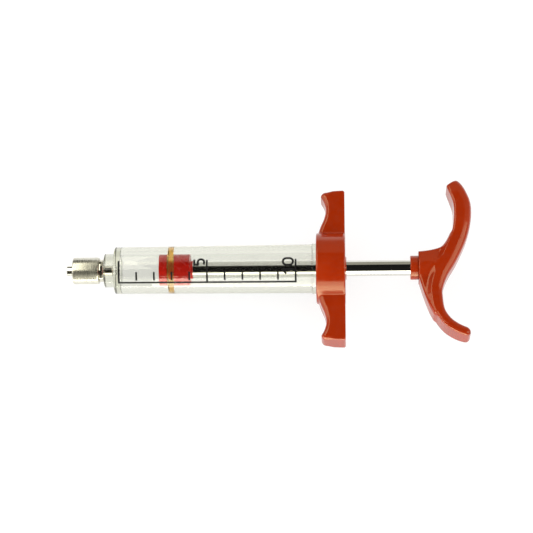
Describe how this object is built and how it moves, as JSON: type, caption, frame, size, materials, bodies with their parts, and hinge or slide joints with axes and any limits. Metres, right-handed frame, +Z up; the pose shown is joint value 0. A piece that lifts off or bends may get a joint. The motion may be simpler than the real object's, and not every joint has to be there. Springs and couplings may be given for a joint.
{
  "type": "reusable syringe",
  "caption": "Reusable Luer-lock syringe with a clear graduated barrel, a piston with a seal ring on a steel rod, a finger flange and an S-shaped palm handle.",
  "frame": {"origin": "centre of the Luer tip's front end, on the barrel's axis", "axes": "+X along the barrel from the tip to the handle, +Y across the finger wings, +Z up at right angles to the wings"},
  "size_m": [0.1664, 0.0702, 0.029],
  "materials": {
    "clear_plastic": "clear moulded acrylic",
    "black_ink": "screen-printed ink",
    "polished_nickel": "polished nickel plate",
    "turned_nickel": "turned and nickel plated",
    "fibre_washer": "matt",
    "orange_plastic": "glossy moulded nylon",
    "amber_rubber": "translucent",
    "red_plastic": "satin moulded",
    "chrome_rod": "polished chrome plate",
    "brass_insert": "turned"
  },
  "bodies": {
    "syringe_body": {"barrel": "clear_plastic", "graduation_print": "black_ink", "luer_nozzle": "polished_nickel", "luer_lock_collar": "turned_nickel", "nozzle_seal": "fibre_washer", "finger_flange": "orange_plastic"},
    "seal_ring": {"piston_seal": "amber_rubber"},
    "plunger": {"piston": "red_plastic", "plunger_rod": "chrome_rod", "handle_collar": "orange_plastic", "handle_insert": "brass_insert", "palm_handle": "orange_plastic"}
  },
  "joints": [
    {"name": "plunger_slide", "type": "slide", "parent": "syringe_body", "child": "seal_ring", "axis": [1, 0, 0], "range_m": [-0.0159, 0.0587]},
    {"name": "plunger_turn", "type": "hinge", "parent": "seal_ring", "child": "plunger", "pos_m": [0.04317, 0, 0], "axis": [1, 0, 0], "continuous": true}
  ]
}
